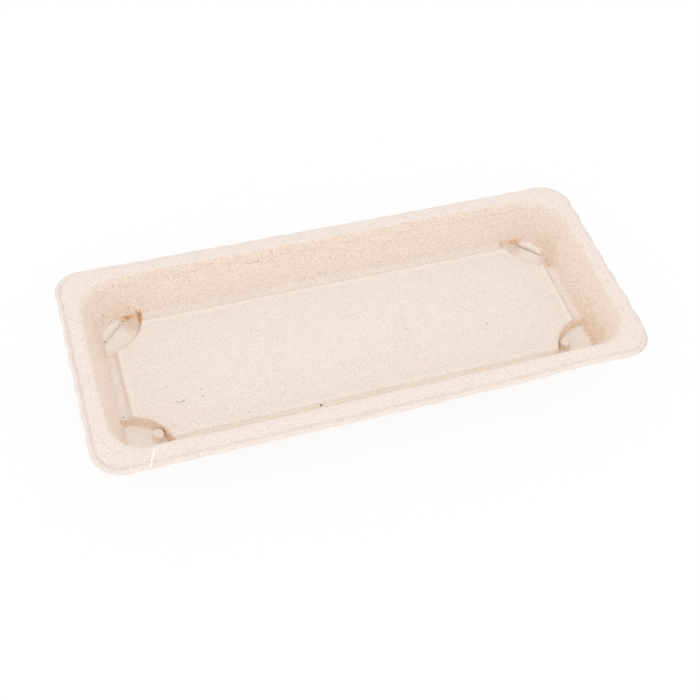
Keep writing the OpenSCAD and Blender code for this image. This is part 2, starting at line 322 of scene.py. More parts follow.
# Slopes of the walls, of the step up to the panel and of the pockets' curved walls
MEAN_LEAN = (SIDE_LEAN + END_LEAN) / 2
WALL_ANGLE = math.atan(GUTTER_DEPTH / MEAN_LEAN)
RISER_ANGLE = math.atan(PANEL_RISE / RISER_RUN)
CURVED_ANGLE = math.atan((POCKET_DEPTH + PANEL_RISE) / POCKET_LEAN)

# Where a pocket's straight cut lies: the sum of its distances from the two walls' feet
CUT_LINE = CORNER_CUT + 2 * MM
CUT_LINE_REACH = 0.8 * MM
# Reaches from a corner of the gutter: of the walls' round corner, of the walls that fade below the brow,
# and of the painted shade in the corner, from where it is full to where it ends
CORNER_ZONE = 11 * MM
CORNER_FADE_REACH = 1.4 * CAVITY_R
CORNER_FADE = 6 * MM
CORNER_FULL = 9.6 * MM
CORNER_END = 33.6 * MM
CORNER_TOP = 7 * MM
CORNER_TOP_EASE = 8 * MM
# Heights between which a wall goes over from its lower to its upper painted shade
LOW_WALL_Z = 9 * MM
HIGH_WALL_Z = 17 * MM
# The painted shade line in the crease at a wall's foot: its height above the gutter, its reach inward and its
# share beside a pocket
FOOT_LINE_LOW = 0.08 * MM
FOOT_LINE_HIGH = 0.4 * MM
FOOT_LINE_REACH = 1.3 * MM
FOOT_LINE_AT_POCKET = 0.4
# Directions about a pocket's corner between which its curved wall goes over from end to side
TURN_AT_END = math.radians(72)
TURN_AT_SIDE = math.radians(12)
# Height over the pocket's floor at which the curved wall's staining and painted shade have faded to its share
CURVED_FADE = 2.2 * MM
# Spots of painted shade in deep corners: x, y, reach, strength, lowest and highest place, and how far the
# spot fades past them.
# Two lie where the back wall meets the back pockets, one at the right end and two at the front pockets' tips.
TIP_SHADE_SPOT_X = FOOT_A - POCKET_FOOT_R
TIP_SHADE_SPOT_Y = 0.9 * MM - FOOT_B
SHADE_SPOTS = [
    (-83.2 * MM, 30.5 * MM, 5.5 * MM, 0.42, POCKET_Z, GUTTER_Z - 0.3 * MM, EASE),
    (84.8 * MM, 30.5 * MM, 5.5 * MM, 0.42, POCKET_Z, GUTTER_Z - 0.3 * MM, EASE),
    (FOOT_A - 0.8 * MM, 19.5 * MM, 4.2 * MM, 0.3, 0, GUTTER_Z - EASE, EASE),
    (-TIP_SHADE_SPOT_X, TIP_SHADE_SPOT_Y, 4.5 * MM, 0.2, 0, RIM_Z, EASE),
    (TIP_SHADE_SPOT_X, TIP_SHADE_SPOT_Y, 4.5 * MM, 0.2, 0, RIM_Z, EASE),
]

# Points round one quarter: along the side, down into the pocket, along its wall and round its corner
RUN_N = 48
TIP_N = 6
WALL_N = 10
ARC_N = 14
END_N = 9
POCKET_N = 2 * WALL_N + ARC_N
# Rows of the skin across the lip and the flange: share of the way in, and share of the bend between the two
LIP_ROWS = [(0, 0), (0.2, 0), (0.45, 0), (0.7, 0), (0.88, 0.3)]
FLANGE_ROWS = [(0.03, 0.7), (0.1, 1), (0.22, 1), (0.38, 1), (0.55, 1), (0.7, 1)]
# Shares of the turn at a pocket's tip between which a hoop drops from the gutter or the panel
TIP_DROP = (0.15, 0.95)
# Rows of the skin across the brow, the wall, its foot, the rounded edges, the pockets' floors and the panel
BROW_N = 10
WALL_ROWS = 10
BEND_N = 6
EDGE_N = 4
RISER_ROWS = 4
LEDGE_SHARES = (0.25, 0.5, 0.75, 0.95, 1)
FLOOR_SHARES = (0.05, 0.08, 0.14, 0.26, 0.4, 0.55, 0.7, 0.85, 1)
PANEL_ROWS = 16
# Power by which the panel's rows crowd towards its edge
PANEL_CROWD = 1.25
# Share of the pulp's thickness by which the underside of a pocket's tips lies further out
TIP_SHARE = 0.9
# Reach of the rubbed-down places at a pocket's tips and at the ends of its cut
TIP_REACH = 2.6 * MM
CUT_REACH = 1.6 * MM
# Passes that even out the floor round a knob, settle and space its foot, and rub down a tip
EASING_STEPS = 10
SETTLING_STEPS = 40
SETTLING_SHARE = 0.4
EVENING_STEPS = 12
SOFTENING_STEPS = 4


def mix(a, b, t):
    return a + (b - a) * t


def smooth(t):
    """An even ease from 0 to 1."""
    t = min(max(t, 0), 1)
    return t * t * (3 - 2 * t)


def rise(value, start, stop):
    """0 at one value, easing to 1 at the other, which may be the lower one."""
    return smooth((value - start) / (stop - start))


def band(value, start, stop, ease):
    """1 between two values, easing to 0 over a distance outside them."""
    return rise(value, start - ease, start) * rise(value, stop + ease, stop)


def rounding(radius, slope, steps):
    """Points from a flat up to a slope, as pairs of a distance along and a height."""
    turns = [slope * i / steps for i in range(steps + 1)]
    return [(radius * (math.sin(t) - math.tan(slope / 2)), radius * (1 - math.cos(t))) for t in turns]


def shares(tip, last, steps):
    """Where each hoop has its points, as shares of the straight stretch of one side."""
    run = [tip * i / steps / last for i in range(steps + 1)]
    return run + [mix(tip, last, i / (TIP_N + WALL_N)) / last for i in range(1, TIP_N + WALL_N + 1)]


SIDE_SHARES = shares(FOOT_A - POCKET_R - TIP_ROUND, FOOT_A - CORNER_CUT, RUN_N)
END_SHARES = shares(FOOT_B - POCKET_R - TIP_ROUND, FOOT_B - CORNER_CUT, END_N)


def corner(a, b, radius, z):
    """The round corner between two straight sides, without its end points."""
    turns = [math.pi / 2 * j / ARC_N for j in range(1, ARC_N)]
    return [(a - radius + radius * math.sin(t), b - radius + radius * math.cos(t), z) for t in turns]


def quarter(a, b, radius, z):
    """A quarter of a rounded rectangle, from the middle of the long side to the middle of the end."""
    side = [(s * (a - radius), b, z) for s in SIDE_SHARES]
    end = [(a, s * (b - radius), z) for s in reversed(END_SHARES)]
    return side + corner(a, b, radius, z) + end


def fall(inward, z):
    """A hoop of the lip or the flange."""
    radius = mix(LIP_R, CAVITY_R, inward / (LIP_W + FLANGE_W))
    return quarter(LIP_A - inward, LIP_B - inward, radius, z)


def wall(inward, z):
    """A hoop of the leaning walls, or of the brow over them."""
    depth = (RIM_Z - z) / GUTTER_DEPTH
    a = MOUTH_A - inward - (END_LEAN - MEAN_LEAN) * depth
    b = MOUTH_B - inward - (SIDE_LEAN - MEAN_LEAN) * depth
    return quarter(a, b, mix(CAVITY_R, FOOT_R, depth), z)


def below(inward, z, fall_in, pulp):
    """A point of a section that falls inward at an angle, or the one a pulp thickness under it."""
    return inward - pulp * math.sin(fall_in), z - pulp * math.cos(fall_in)


def rim_hoops(pulp):
    """Hoops from the lip over the flange and the brow down to the foot of the walls."""
    crease_z = RIM_Z - FLANGE_DROP
    lip_angle = -math.atan(LIP_DROP / LIP_W)
    flange_angle = -math.atan(FLANGE_DROP / FLANGE_W)
    hoops = []
    for share, bent in LIP_ROWS:
        angle = mix(lip_angle, flange_angle, bent)
        hoops.append(fall(*below(LIP_W * share, crease_z - LIP_DROP * (1 - share), angle, pulp)))
    for share, bent in FLANGE_ROWS:
        angle = mix(lip_angle, flange_angle, bent)
        hoops.append(fall(*below(LIP_W + FLANGE_W * share, crease_z + FLANGE_DROP * share, angle, pulp)))
    turn = WALL_ANGLE - flange_angle
    tangent = BROW_R * math.tan(turn / 2)
    for i in range(BROW_N + 1):
        angle = flange_angle + turn * i / BROW_N
        inward = BROW_R * (math.sin(angle) - math.sin(flange_angle)) - tangent * math.cos(flange_angle)
        up = BROW_R * (math.cos(angle) - math.cos(flange_angle)) + tangent * math.sin(flange_angle)
        hoops.append(wall(*below(inward, RIM_Z + up, angle, pulp)))
    top = RIM_Z + up
    foot = GUTTER_Z + rounding(FOOT_FILLET, WALL_ANGLE, 1)[1][1]
    for i in range(1, WALL_ROWS):
        z = mix(top, foot, i / WALL_ROWS)
        hoops.append(wall(*below(MEAN_LEAN * (RIM_Z - z) / GUTTER_DEPTH, z, WALL_ANGLE, pulp)))
    return hoops


def on_circle(radius, inward, z, swap):
    """A point inward of a wall's foot, on a circle about the gutter's corner."""
    along = math.sqrt(radius * radius - inward * inward)
    return (FOOT_A - inward, FOOT_B - along, z) if swap else (FOOT_A - along, FOOT_B - inward, z)


def tip(run, edge, pocket):
    """The turn from the gutter or the panel's edge down into a pocket, without its end points."""
    points = []
    for j in range(1, TIP_N):
        u = j / TIP_N
        near, bend, far = (1 - u) ** 2, 2 * u * (1 - u), u * u
        x = near * run[0] + bend * edge[0] + far * pocket[0]
        y = near * run[1] + bend * edge[1] + far * pocket[1]
        points.append((x, y, mix(run[2], pocket[2], rise(u, *TIP_DROP))))
    return points


def floor_hoop(inward, z, radius, path):
    """A hoop that runs level outside the pockets and follows its path in them."""
    side, end = (on_circle(radius + TIP_ROUND, inward, z, swap) for swap in (False, True))
    side_edge, end_edge = (on_circle(radius, inward, z, swap) for swap in (False, True))
    hoop = [(side[0] * i / RUN_N, side[1], z) for i in range(RUN_N + 1)]
    hoop += tip(side, side_edge, path[0]) + path + tip(end, end_edge, path[-1])[::-1]
    return hoop + [(end[0], end[1] * i / END_N, z) for i in range(END_N, -1, -1)]


def arc_path(radius, inward, z):
    """Along a pocket's curved wall, from the long side's tip to the end's."""
    first = math.asin(inward / radius)
    turns = [mix(first, math.pi / 2 - first, j / POCKET_N) for j in range(POCKET_N + 1)]
    return [(FOOT_A - radius * math.cos(t), FOOT_B - radius * math.sin(t), z) for t in turns]


def wall_path(side, ledge, leg_share, pulp):
    """Along a pocket's outer walls, round their corner or, at a leg_share of 1, straight across it.

    side and ledge are the section there: an inset from the walls' foot and a height."""
    a, b = FOOT_A - side[0] * END_LEAN / MEAN_LEAN, FOOT_B - side[0] * SIDE_LEAN / MEAN_LEAN
    leg = mix(FOOT_R, CORNER_CUT - 2 * POCKET_FILLET, leg_share)
    start = POCKET_FOOT_R + TIP_SHARE * pulp
    rows = [(j / WALL_N, side[1] if j < WALL_N else mix(side[1], ledge[1], 0.5)) for j in range(WALL_N + 1)]
    along_side = [(mix(FOOT_A - start, a - leg, t), b, z) for t, z in rows]
    along_end = [(a, mix(FOOT_B - start, b - leg, t), z) for t, z in reversed(rows)]
    a, b = FOOT_A - ledge[0] * END_LEAN / MEAN_LEAN, FOOT_B - ledge[0] * SIDE_LEAN / MEAN_LEAN
    across = []
    for j, (x, y, z) in zip(range(1, ARC_N), corner(a, b, leg, ledge[1])):
        t = j / ARC_N
        across.append((mix(x, a - leg * (1 - t), leg_share), mix(y, b - leg * t, leg_share), z))
    return along_side + across + along_end


def pocket_wall(level, row, pulp):
    """The section of a pocket's outer wall at one row of its fillet, down to a floor at the level."""
    bend = rounding(POCKET_FILLET, WALL_ANGLE, BEND_N // 2)
    foot = MEAN_LEAN * (GUTTER_Z - level) / GUTTER_DEPTH
    if row <= BEND_N // 2:
        top = GUTTER_Z + rounding(FOOT_FILLET, WALL_ANGLE, 1)[1][1]
        z = mix(top, level + bend[-1][1], row / (BEND_N // 2))
        return below(MEAN_LEAN * (GUTTER_Z - z) / GUTTER_DEPTH, z, WALL_ANGLE, pulp)
    i = BEND_N - row
    return below(foot - bend[i][0], level + bend[i][1], WALL_ANGLE * i / (BEND_N // 2), pulp)


def blend_paths(one, other, share, corner_share):
    """A path part of the way from one to the other, by a share of its own across the corner."""
    path = []
    for j, (p, q) in enumerate(zip(one, other)):
        t = corner_share if WALL_N < j < POCKET_N - WALL_N else share
        path.append((mix(p[0], q[0], t), mix(p[1], q[1], t), p[2]))
    return path


def step_section(start, foot_z, stop, angle, pulp):
    """A step up to the panel in section: points from its foot over its slope to its edge."""
    bend = rounding(PANEL_ROUND, angle, EDGE_N)
    reach, height = bend[-1]
    points = [(start + x, foot_z + z, i / EDGE_N) for i, (x, z) in enumerate(bend)]
    for i in range(1, RISER_ROWS):
        t = i / RISER_ROWS
        points.append((mix(start + reach, stop - reach, t), mix(foot_z + height, PANEL_Z - height, t), 1))
    points += [(stop - x, PANEL_Z - z, i / EDGE_N) for i, (x, z) in reversed(list(enumerate(bend)))]
    return [below(x, z, -angle * turned, pulp) for x, z, turned in points]


def floor_hoops(pulp):
    """Hoops from the fillet at the walls' foot over gutter and pockets to the edge of the panel."""
    bend = rounding(FOOT_FILLET, WALL_ANGLE, BEND_N)
    level_step = step_section(GUTTER_W, GUTTER_Z, PANEL_EDGE, RISER_ANGLE, pulp)
    curved_step = step_section(POCKET_FOOT_R, POCKET_Z, POCKET_R, CURVED_ANGLE, pulp)
    drop_radius = POCKET_MID_R + TIP_SHARE * pulp
    start, stop = -bend[0][0], level_step[0][0]
    inner_path = arc_path(curved_step[0][0], stop, POCKET_Z - pulp)
    hoops = []
    for row in range(BEND_N + 1):
        i = BEND_N - row
        section = below(-bend[i][0], GUTTER_Z + bend[i][1], WALL_ANGLE * i / BEND_N, pulp)
        path = wall_path(pocket_wall(POCKET_Z, row, pulp), pocket_wall(LEDGE_Z, row, pulp), 0, pulp)
        hoops.append(floor_hoop(*section, drop_radius, path))
    side, ledge = pocket_wall(POCKET_Z, BEND_N, pulp), pocket_wall(LEDGE_Z, BEND_N, pulp)
    level = (side[0], POCKET_Z - pulp)
    paths = []
    for leg_share in LEDGE_SHARES:
        share = FLOOR_SHARES[0] * leg_share / 2
        paths.append(blend_paths(wall_path(side, ledge, leg_share, pulp), inner_path, share, 0))
    for share in FLOOR_SHARES:
        paths.append(blend_paths(wall_path(side, level, 1, pulp), inner_path, share, share))
    for n, path in enumerate(paths, 1):
        hoops.append(floor_hoop(mix(start, stop, n / len(paths)), GUTTER_Z - pulp, drop_radius, path))
    for row in range(1, len(level_step)):
        inward, z = level_step[row]
        radius, path_z = curved_step[row]
        share = min(max((row - EDGE_N) / RISER_ROWS, 0), 1)
        path = arc_path(radius, inward + TIP_ROUND / 2 * share, path_z)
        hoops.append(floor_hoop(inward, z, mix(drop_radius, radius, share), path))
    return hoops


def panel_hoops(edge):
    """Hoops that draw in over the panel to a line along its middle."""
    middle = (edge[-1][0] - edge[0][1]) / edge[-1][0]
    hoops = []
    for k in range(1, PANEL_ROWS + 1):
        t = (k / PANEL_ROWS) ** PANEL_CROWD
        hoops.append([(x * mix(1, middle, t), y * (1 - t), z) for x, y, z in edge])
    return hoops


def follow(given, wanted, value):
    """Reads off one list of a section's measures against another that rises with it."""
    k = next((k for k in range(1, len(given)) if value < given[k]), len(given) - 1)
    return mix(wanted[k - 1], wanted[k], (value - given[k - 1]) / (given[k] - given[k - 1]))


def curved_section(pulp):
    """A pocket's floor and curved wall in section: distances from its corner, heights and lengths."""
    points = step_section(POCKET_FOOT_R, POCKET_Z, POCKET_R, CURVED_ANGLE, pulp)
    points = [(0, POCKET_Z - pulp)] + points + [(points[-1][0] + POCKET_R, PANEL_Z - pulp)]
    lengths = [0]
    for (near, low_z), (far, high_z) in zip(points, points[1:]):
        lengths.append(lengths[-1] + math.hypot(far - near, high_z - low_z))
    return [reach for reach, z in points], [z for reach, z in points], lengths


def ease_round(verts, pocket_corner, side, section):
    """Evens out the points round a knob's foot, along the pocket's floor and its curved wall."""
    reaches, heights, lengths = section

    def unrolled(vert):
        arm = vert.co.xy - pocket_corner
        turn = math.atan2(arm.y, -side * arm.x)
        return Vector((follow(reaches, lengths, arm.length), turn * POCKET_FOOT_R))

    near = {vert: [edge.other_vert(vert) for edge in vert.link_edges] for vert in verts}
    flat = {vert: unrolled(vert) for vert in set(verts).union(*near.values())}
    for _ in range(EASING_STEPS):
        moved = {}
        for vert in verts:
            moved[vert] = sum((flat[other] for other in near[vert]), Vector((0, 0))) / len(near[vert])
        for vert in verts:
            flat[vert] = flat[vert].lerp(moved[vert], 0.5)
    for vert in verts:
        length, turn = flat[vert].x, flat[vert].y / POCKET_FOOT_R
        reach = follow(lengths, reaches, length)
        place = pocket_corner + reach * Vector((-side * math.cos(turn), math.sin(turn)))
        vert.co = (*place, follow(lengths, heights, length))


def in_order(ring):
    """The points of a closed ring of edges, one after the other."""
    links = {}
    for edge in ring:
        for vert in edge.verts:
            links.setdefault(vert, []).append(edge.other_vert(vert))
    order = [ring[0].verts[0]]
    last = None
    while len(order) < len(links):
        here = order[-1]
        order.append(next(vert for vert in links[here] if vert is not last))
        last = here
    return order


def evened(arms):
    """Angles of the arms to the points of a closed ring, evened out so that none lie too close."""
    turns = [math.atan2(arms[0].y, arms[0].x)]
    for arm in arms[1:] + arms[:1]:
        step = math.atan2(arm.y, arm.x) - turns[-1]
        turns.append(turns[-1] + (step + math.pi) % (2 * math.pi) - math.pi)
    round_trip = turns.pop() - turns[0]
    for _ in range(EVENING_STEPS):
        before = [turns[-1] - round_trip] + turns[:-1]
        after = turns[1:] + [turns[0] + round_trip]
        turns = [t / 2 + (a + b) / 4 for t, a, b in zip(turns, before, after)]
    return turns


def draw_up(bm, ring, base, centre, row):
    """Extrudes a ring of edges by one row, which gives each point its distance out and its height."""
    made = bmesh.ops.extrude_edge_only(bm, edges=ring)["geom"]
    fresh = {}
    for vert in (item for item in made if isinstance(item, bmesh.types.BMVert)):
        source = next(edge.other_vert(vert) for edge in vert.link_edges if edge.other_vert(vert) in base)
        out, z = base[source]
        across, level = row(z)
        vert.co = (*(centre + out * across), level)
        fresh[vert] = (out, z)
    edges = [item for item in made if isinstance(item, bmesh.types.BMEdge)]
    return [edge for edge in edges if all(vert in fresh for vert in edge.verts)], fresh


def raise_knob(bm, side, pulp):
    """Opens a front pocket's floor and draws the hole's edge up into a stacking knob."""
    centre = Vector((side * (FOOT_A - KNOB_X), KNOB_Y - FOOT_B))
    pocket_corner = Vector((side * FOOT_A, -FOOT_B))
    section = curved_section(pulp)
    top = POCKET_Z + KNOB_H - pulp
    bend = KNOB_EDGE if pulp == 0 else KNOB_EDGE / 2

    def radius(z):
        return KNOB_D / 2 - pulp + KNOB_LEAN * (top - z) / KNOB_H

    def fillet(z):
        climbed = rise(z + pulp, POCKET_Z, POCKET_Z + KNOB_FILLET_CLIMB)
        return KNOB_FILLET * mix(1, KNOB_FILLET_SHARE, climbed)

    def in_pocket(point, reach):
        return point.z < PANEL_Z and (point.xy - centre).length < reach

    widest = radius(POCKET_Z - pulp) + KNOB_FILLET
    near = [edge for edge in bm.edges if all(in_pocket(v.co, widest + KNOB_FINE_RING) for v in edge.verts)]
    bmesh.ops.subdivide_edges(bm, edges=near, cuts=1, use_grid_fill=True)
    hole = []
    for face in bm.faces:
        spot = face.calc_center_median()
        if in_pocket(spot, radius(spot.z) + fillet(spot.z) + 0.1 * MM):
            hole.append(face)
    bmesh.ops.delete(bm, geom=hole, context="FACES")
    ring = [edge for edge in bm.edges if edge.is_boundary and in_pocket(edge.verts[0].co, 2 * widest)]
    base = {}
    verts = in_order(ring)
    for vert, turn in zip(verts, evened([(v.co.xy - centre) for v in verts])):
        out = Vector((math.cos(turn), math.sin(turn)))
        z = vert.co.z
        for _ in range(SETTLING_STEPS):
            place = centre + out * (radius(z) + fillet(z))
            z = mix(z, follow(section[0], section[1], (place - pocket_corner).length), SETTLING_SHARE)
        vert.co = (*place, z)
        base[vert] = (out, z)
    around = [v for v in bm.verts if v not in base and in_pocket(v.co, widest + KNOB_EVEN_RING)]
    ease_round(around, pocket_corner, side, section)

    for share, flare, lift in KNOB_ROWS:
        def row(z):
            level = mix(z + lift * fillet(z), top - bend, share)
            return radius(level) + flare * fillet(z), level
        ring, base = draw_up(bm, ring, base, centre, row)
    for turn in KNOB_EDGE_TURNS:
        across = radius(top) - bend * (1 - math.cos(turn))
        level = top - bend * (1 - math.sin(turn))
        ring, base = draw_up(bm, ring, base, centre, lambda z: (across, level))
    for share in KNOB_TOP_SHARES:
        ring, base = draw_up(bm, ring, base, centre, lambda z: (radius(top) * share, top))
    cap = bmesh.ops.contextual_create(bm, geom=ring)
    bmesh.ops.poke(bm, faces=cap["faces"])


def skin(bm, pulp):
    """One skin of the pulp as an open sheet, bent from a grid and mirrored from one quarter."""
    hoops = rim_hoops(pulp) + floor_hoops(pulp)
    hoops += panel_hoops(hoops[-1])
    rows, points = len(hoops) - 1, len(hoops[0]) - 1
    grid = bmesh.ops.create_grid(bm, x_segments=points, y_segments=rows, size=0.5)
    for vert in grid["verts"]:
        row, point = round((vert.co.y + 0.5) * rows), round((vert.co.x + 0.5) * points)
        vert.co = hoops[row][point]
    for axis in "XY":
        bmesh.ops.mirror(bm, geom=bm.verts[:] + bm.edges[:] + bm.faces[:], axis=axis, merge_dist=0.001 * MM)
    bmesh.ops.remove_doubles(bm, verts=bm.verts, dist=0.01 * MM)
    for side in (-1, 1):
        raise_knob(bm, side, pulp)
    bmesh.ops.recalc_face_normals(bm, faces=bm.faces)
    facing = sum(face.normal.z * face.calc_area() for face in bm.faces)
    if (facing < 0) == (pulp == 0):
        bmesh.ops.reverse_faces(bm, faces=bm.faces)


def finish_mesh(bm, name):
    """A named object from a finished mesh, in its place."""
    mesh = bpy.data.meshes.new(name)
    bm.to_mesh(mesh)
    bm.free()
    piece = bpy.data.objects.new(name, mesh)
    bpy.context.collection.objects.link(piece)
    return piece


def scallop(bm):
    """Draws the lip's edge in and out along its straight sides."""
    def wave(place):
        return 0.5 - 0.5 * math.cos(2 * math.pi * (place - SCALLOP_START) / SCALLOP_PITCH)

    for vert in bm.verts:
        x, y, z = vert.co
        at_ends = (0, LIP_A, y, LIP_B - LIP_R, SCALLOP_END)
        at_sides = (1, LIP_B, x, LIP_A - LIP_R, SCALLOP_SIDE)
        for axis, half, across, straight, depth in (at_ends, at_sides):
            inward = half - abs(vert.co[axis])
            if inward < SCALLOP_REACH:
                before_corner = (straight - abs(across)) / LIP_R
                fade = rise(inward, SCALLOP_REACH, 0) * smooth(before_corner + SCALLOP_PAST)
                vert.co[axis] -= math.copysign(depth * fade * wave(across), vert.co[axis])


def swell(spot, kind, strength):
    """Height in mm of one of the sheet's swells at a place."""
    size, faint, strong, shift = kind
    return noise.noise(spot / (size * MM) + Vector(shift)) * mix(faint, strong, strength)


def roughen(bm):
    """Leaves the sheet a little uneven, most at the rim and not at all under the feet."""
    bm.normal_update()
    moves = []
    for vert in bm.verts:
        spot = vert.co
        from_corner = math.hypot(FOOT_A - abs(spot.x), FOOT_B - abs(spot.y))
        from_knob = math.hypot(abs(spot.x) - (FOOT_A - KNOB_X), spot.y - (KNOB_Y - FOOT_B)) - KNOB_D / 2
        rim = rise(spot.z, PANEL_Z, RIM_Z)
        pocket = rise(from_corner, POCKET_R + 2 * MM, POCKET_R - EASE) * (1 - rim)
        lifted = rise(spot.z, POCKET_Z, POCKET_Z + FLAT_EASE)
        lifted *= rise(from_knob, KNOB_LEAN, KNOB_LEAN + KNOB_CLEAR)
        height = swell(spot, BROAD_SWELL, rim) + swell(spot, MIDDLING_SWELL, rim)
        height += swell(spot, FINE_SWELL, pocket)
        moves.append(height * lifted * MM)
    for vert, move in zip(bm.verts, moves):
        up = 1 if vert.normal.z > 0 else -1
        vert.co += vert.normal * move * up


def hold_inside(bm):
    """Keeps the few points that the unevenness pushed furthest inside the tray's own box."""
    for vert in bm.verts:
        vert.co = [min(max(value, least), most) for value, least, most in zip(vert.co, low, high)]


def sag(bm):
    """Lets each long rim down a little at its middle."""
    for vert in bm.verts:
        high = max(0, (vert.co.z - PANEL_Z) / (RIM_Z - PANEL_Z))
        along = vert.co.x / LIP_A
        vert.co.z -= RIM_SAG * high * max(0, 1 - along * along) * min(1, abs(vert.co.y) / FOOT_B)


def soften_tips(bm):
    """Rubs down the sharp places where a pocket's tips and its cut meet the walls."""
    inset = FOOT_FILLET
    leg = CORNER_CUT - POCKET_FILLET
    spots = []
    for along, across, reach in ((POCKET_FOOT_R, inset, TIP_REACH), (leg, POCKET_FILLET, CUT_REACH)):
        spots.append((FOOT_A - along, FOOT_B - across, reach))
        spots.append((FOOT_A - across, FOOT_B - along, reach))
    verts = []
    for vert in bm.verts:
        x, y, z = vert.co
        if z < RIM_Z / 2 and any(math.hypot(abs(x) - a, abs(y) - b) < reach for a, b, reach in spots):
            verts.append(vert)
    for _ in range(SOFTENING_STEPS):
        bmesh.ops.smooth_vert(bm, verts=verts, factor=0.5, use_axis_x=True, use_axis_y=True, use_axis_z=True)


def near_spot(spot, x, y, reach):
    """1 at a place seen from above, easing to 0 at its reach."""
    return smooth(1 - math.hypot(spot.x - x, spot.y - y) / reach)


def from_edge(spot):
    """How far a point lies inward from the lip's edge, and which way is out from there."""
    x, y = abs(spot.x) - (LIP_A - LIP_R), abs(spot.y) - (LIP_B - LIP_R)
    if x > 0 and y > 0:
        out = Vector((x, y))
    else:
        out = Vector((x, 0)) if x > y else Vector((0, y))
    inset = LIP_R - out.length if max(x, y) > 0 else LIP_R - max(x, y)
    out.normalize()
    return inset, Vector((math.copysign(out.x, spot.x), math.copysign(out.y, spot.y)))


def sides(spot, arm):
    """The end and the long side that a point is nearer to, and the one of the two that it belongs to."""
    end = "right" if spot.x > 0 else "left"
    side = "front" if spot.y < 0 else "back"
    return end, side, end if arm.x < arm.y else side


def wall_painted_shading(spot, slope, arm, inset):
    """The painted shade on the walls with their round corners and on the line at their foot."""
    end, side, nearest = sides(spot, arm)
    low_wall, high_wall, foot_line, _ = SIDE_PAINTED_SHADING[nearest]
    strength = mix(low_wall, high_wall, rise(spot.z, LOW_WALL_Z, HIGH_WALL_Z))
    if arm.length < CORNER_FADE_REACH:
        strength *= rise(spot.z, RIM_Z, RIM_Z - CORNER_FADE)
    on_corner = rise(arm.length, CORNER_ZONE, CORNER_ZONE - EASE) * rise(spot.z, LEDGE_Z, LEDGE_Z + EASE)
    # Painted shade on the steep walls and their round corners
    amount = WALL_PAINTED_SHADE * strength * max(rise(inset, EASE, 0), on_corner)
    # Painted shade along the crease at the wall's foot
    line = band(spot.z, GUTTER_Z + FOOT_LINE_LOW, GUTTER_Z + FOOT_LINE_HIGH, 0.3 * MM)
    line *= rise(inset, FOOT_LINE_REACH, FOOT_LINE_REACH - EASE)
    line *= mix(FOOT_LINE_AT_POCKET, 1, rise(arm.length, POCKET_FOOT_R, POCKET_FOOT_R + 2 * MM))
    # Painted shade low in the gutter's corner
    in_corner = rise(arm.length, CORNER_END, CORNER_FULL)
    in_corner *= band(spot.z, GUTTER_Z, CORNER_TOP, CORNER_TOP_EASE)
    return slope * (amount + line * foot_line + in_corner * CORNER_SHADE_AND_STAIN[end, side][0])


def floor_painted_shading(spot, slope, arm, inset):
    """Painted light and shade on the gutter and the step up to the panel, a painted highlight on the panel's
    edge, and the panel a little paler.
    """
    past_pocket = rise(arm.length, POCKET_R, POCKET_R + EASE)
    in_gutter = band(inset, FOOT_LINE_REACH, GUTTER_W, 0.6 * MM)
    in_gutter *= band(spot.z, GUTTER_Z - 0.2 * MM, GUTTER_Z + 0.2 * MM, 0.4 * MM)
    _, _, nearest = sides(spot, arm)
    on_step = band(inset, GUTTER_W + 0.3 * MM, PANEL_EDGE, 0.4 * MM) * slope
    # Painted shade on the step up to the panel, painted light where its share is below 0, and painted light
    # in the gutter
    amount = (on_step * SIDE_PAINTED_SHADING[nearest][3] - GUTTER_PAINTED_LIGHT * in_gutter) * past_pocket
    if spot.z < RIM_Z / 2:
        # The panel a little paler, with a painted highlight along its rounded edge
        on_panel = rise(inset, PANEL_EDGE - 0.4 * MM, PANEL_EDGE + 0.6 * MM)
        on_panel *= rise(spot.z, PANEL_Z - EASE, PANEL_Z)
        near_edge = rise(inset, PANEL_EDGE + 3 * MM, PANEL_EDGE + EASE)
        amount -= on_panel * mix(PANEL_PALE, PANEL_EDGE_PAINTED_HIGHLIGHT, near_edge)
    return amount


def pocket_painted_shading_and_stain(spot, slope, arm, inset):
    """Staining and painted light and shade in a corner pocket: its floor, its curved wall, its spots of
    shade, and its knob or its step.
    """
    end, side, _ = sides(spot, arm)
    _, towards_end, towards_side, top_share = CORNER_SHADE_AND_STAIN[end, side]
    on_floor = rise(arm.length, POCKET_FOOT_R, POCKET_FOOT_R - EASE) * band(spot.z, 0, LEDGE_Z, 0.3 * MM)
    # Painted light on the pocket's floor, against the shade it lies in
    amount = -POCKET_PAINTED_LIGHT * on_floor
    turn = math.atan2(max(arm.y, 0), max(arm.x, 0.1 * MM))
    strength = mix(towards_end, towards_side, rise(turn, TURN_AT_END, TURN_AT_SIDE))
    strength *= mix(1, top_share, rise(spot.z, POCKET_Z, POCKET_Z + CURVED_FADE))
    # Staining and painted shade on the pocket's curved wall
    on_curve = band(arm.length, POCKET_FOOT_R + 0.1 * MM, POCKET_R - 0.4 * MM, 0.6 * MM)
    on_curve *= band(spot.z, 0, PANEL_Z + 0.3 * MM, 0.5 * MM) * rise(inset, -1.5 * MM, 0)
    amount += on_curve * strength
    # Spots of painted shade in the deep corners
    for x, y, reach, browning, lowest, highest, ease in SHADE_SPOTS:
        amount += browning * near_spot(spot, x, y, reach) * band(spot.z, lowest, highest, ease)
    if side == "front":
        from_knob = math.hypot(arm.x - KNOB_X, arm.y - KNOB_Y) - KNOB_D / 2
        # Painted shade round the knob's foot
        amount += KNOB_PAINTED_SHADE * slope * rise(abs(from_knob), 0.9 * MM, 0)
    # Painted shadow along the foot of a back pocket's step
    return amount + STEP_PAINTED_SHADOW_BROWN[end] * painted_step_shadow(spot, arm, inset)


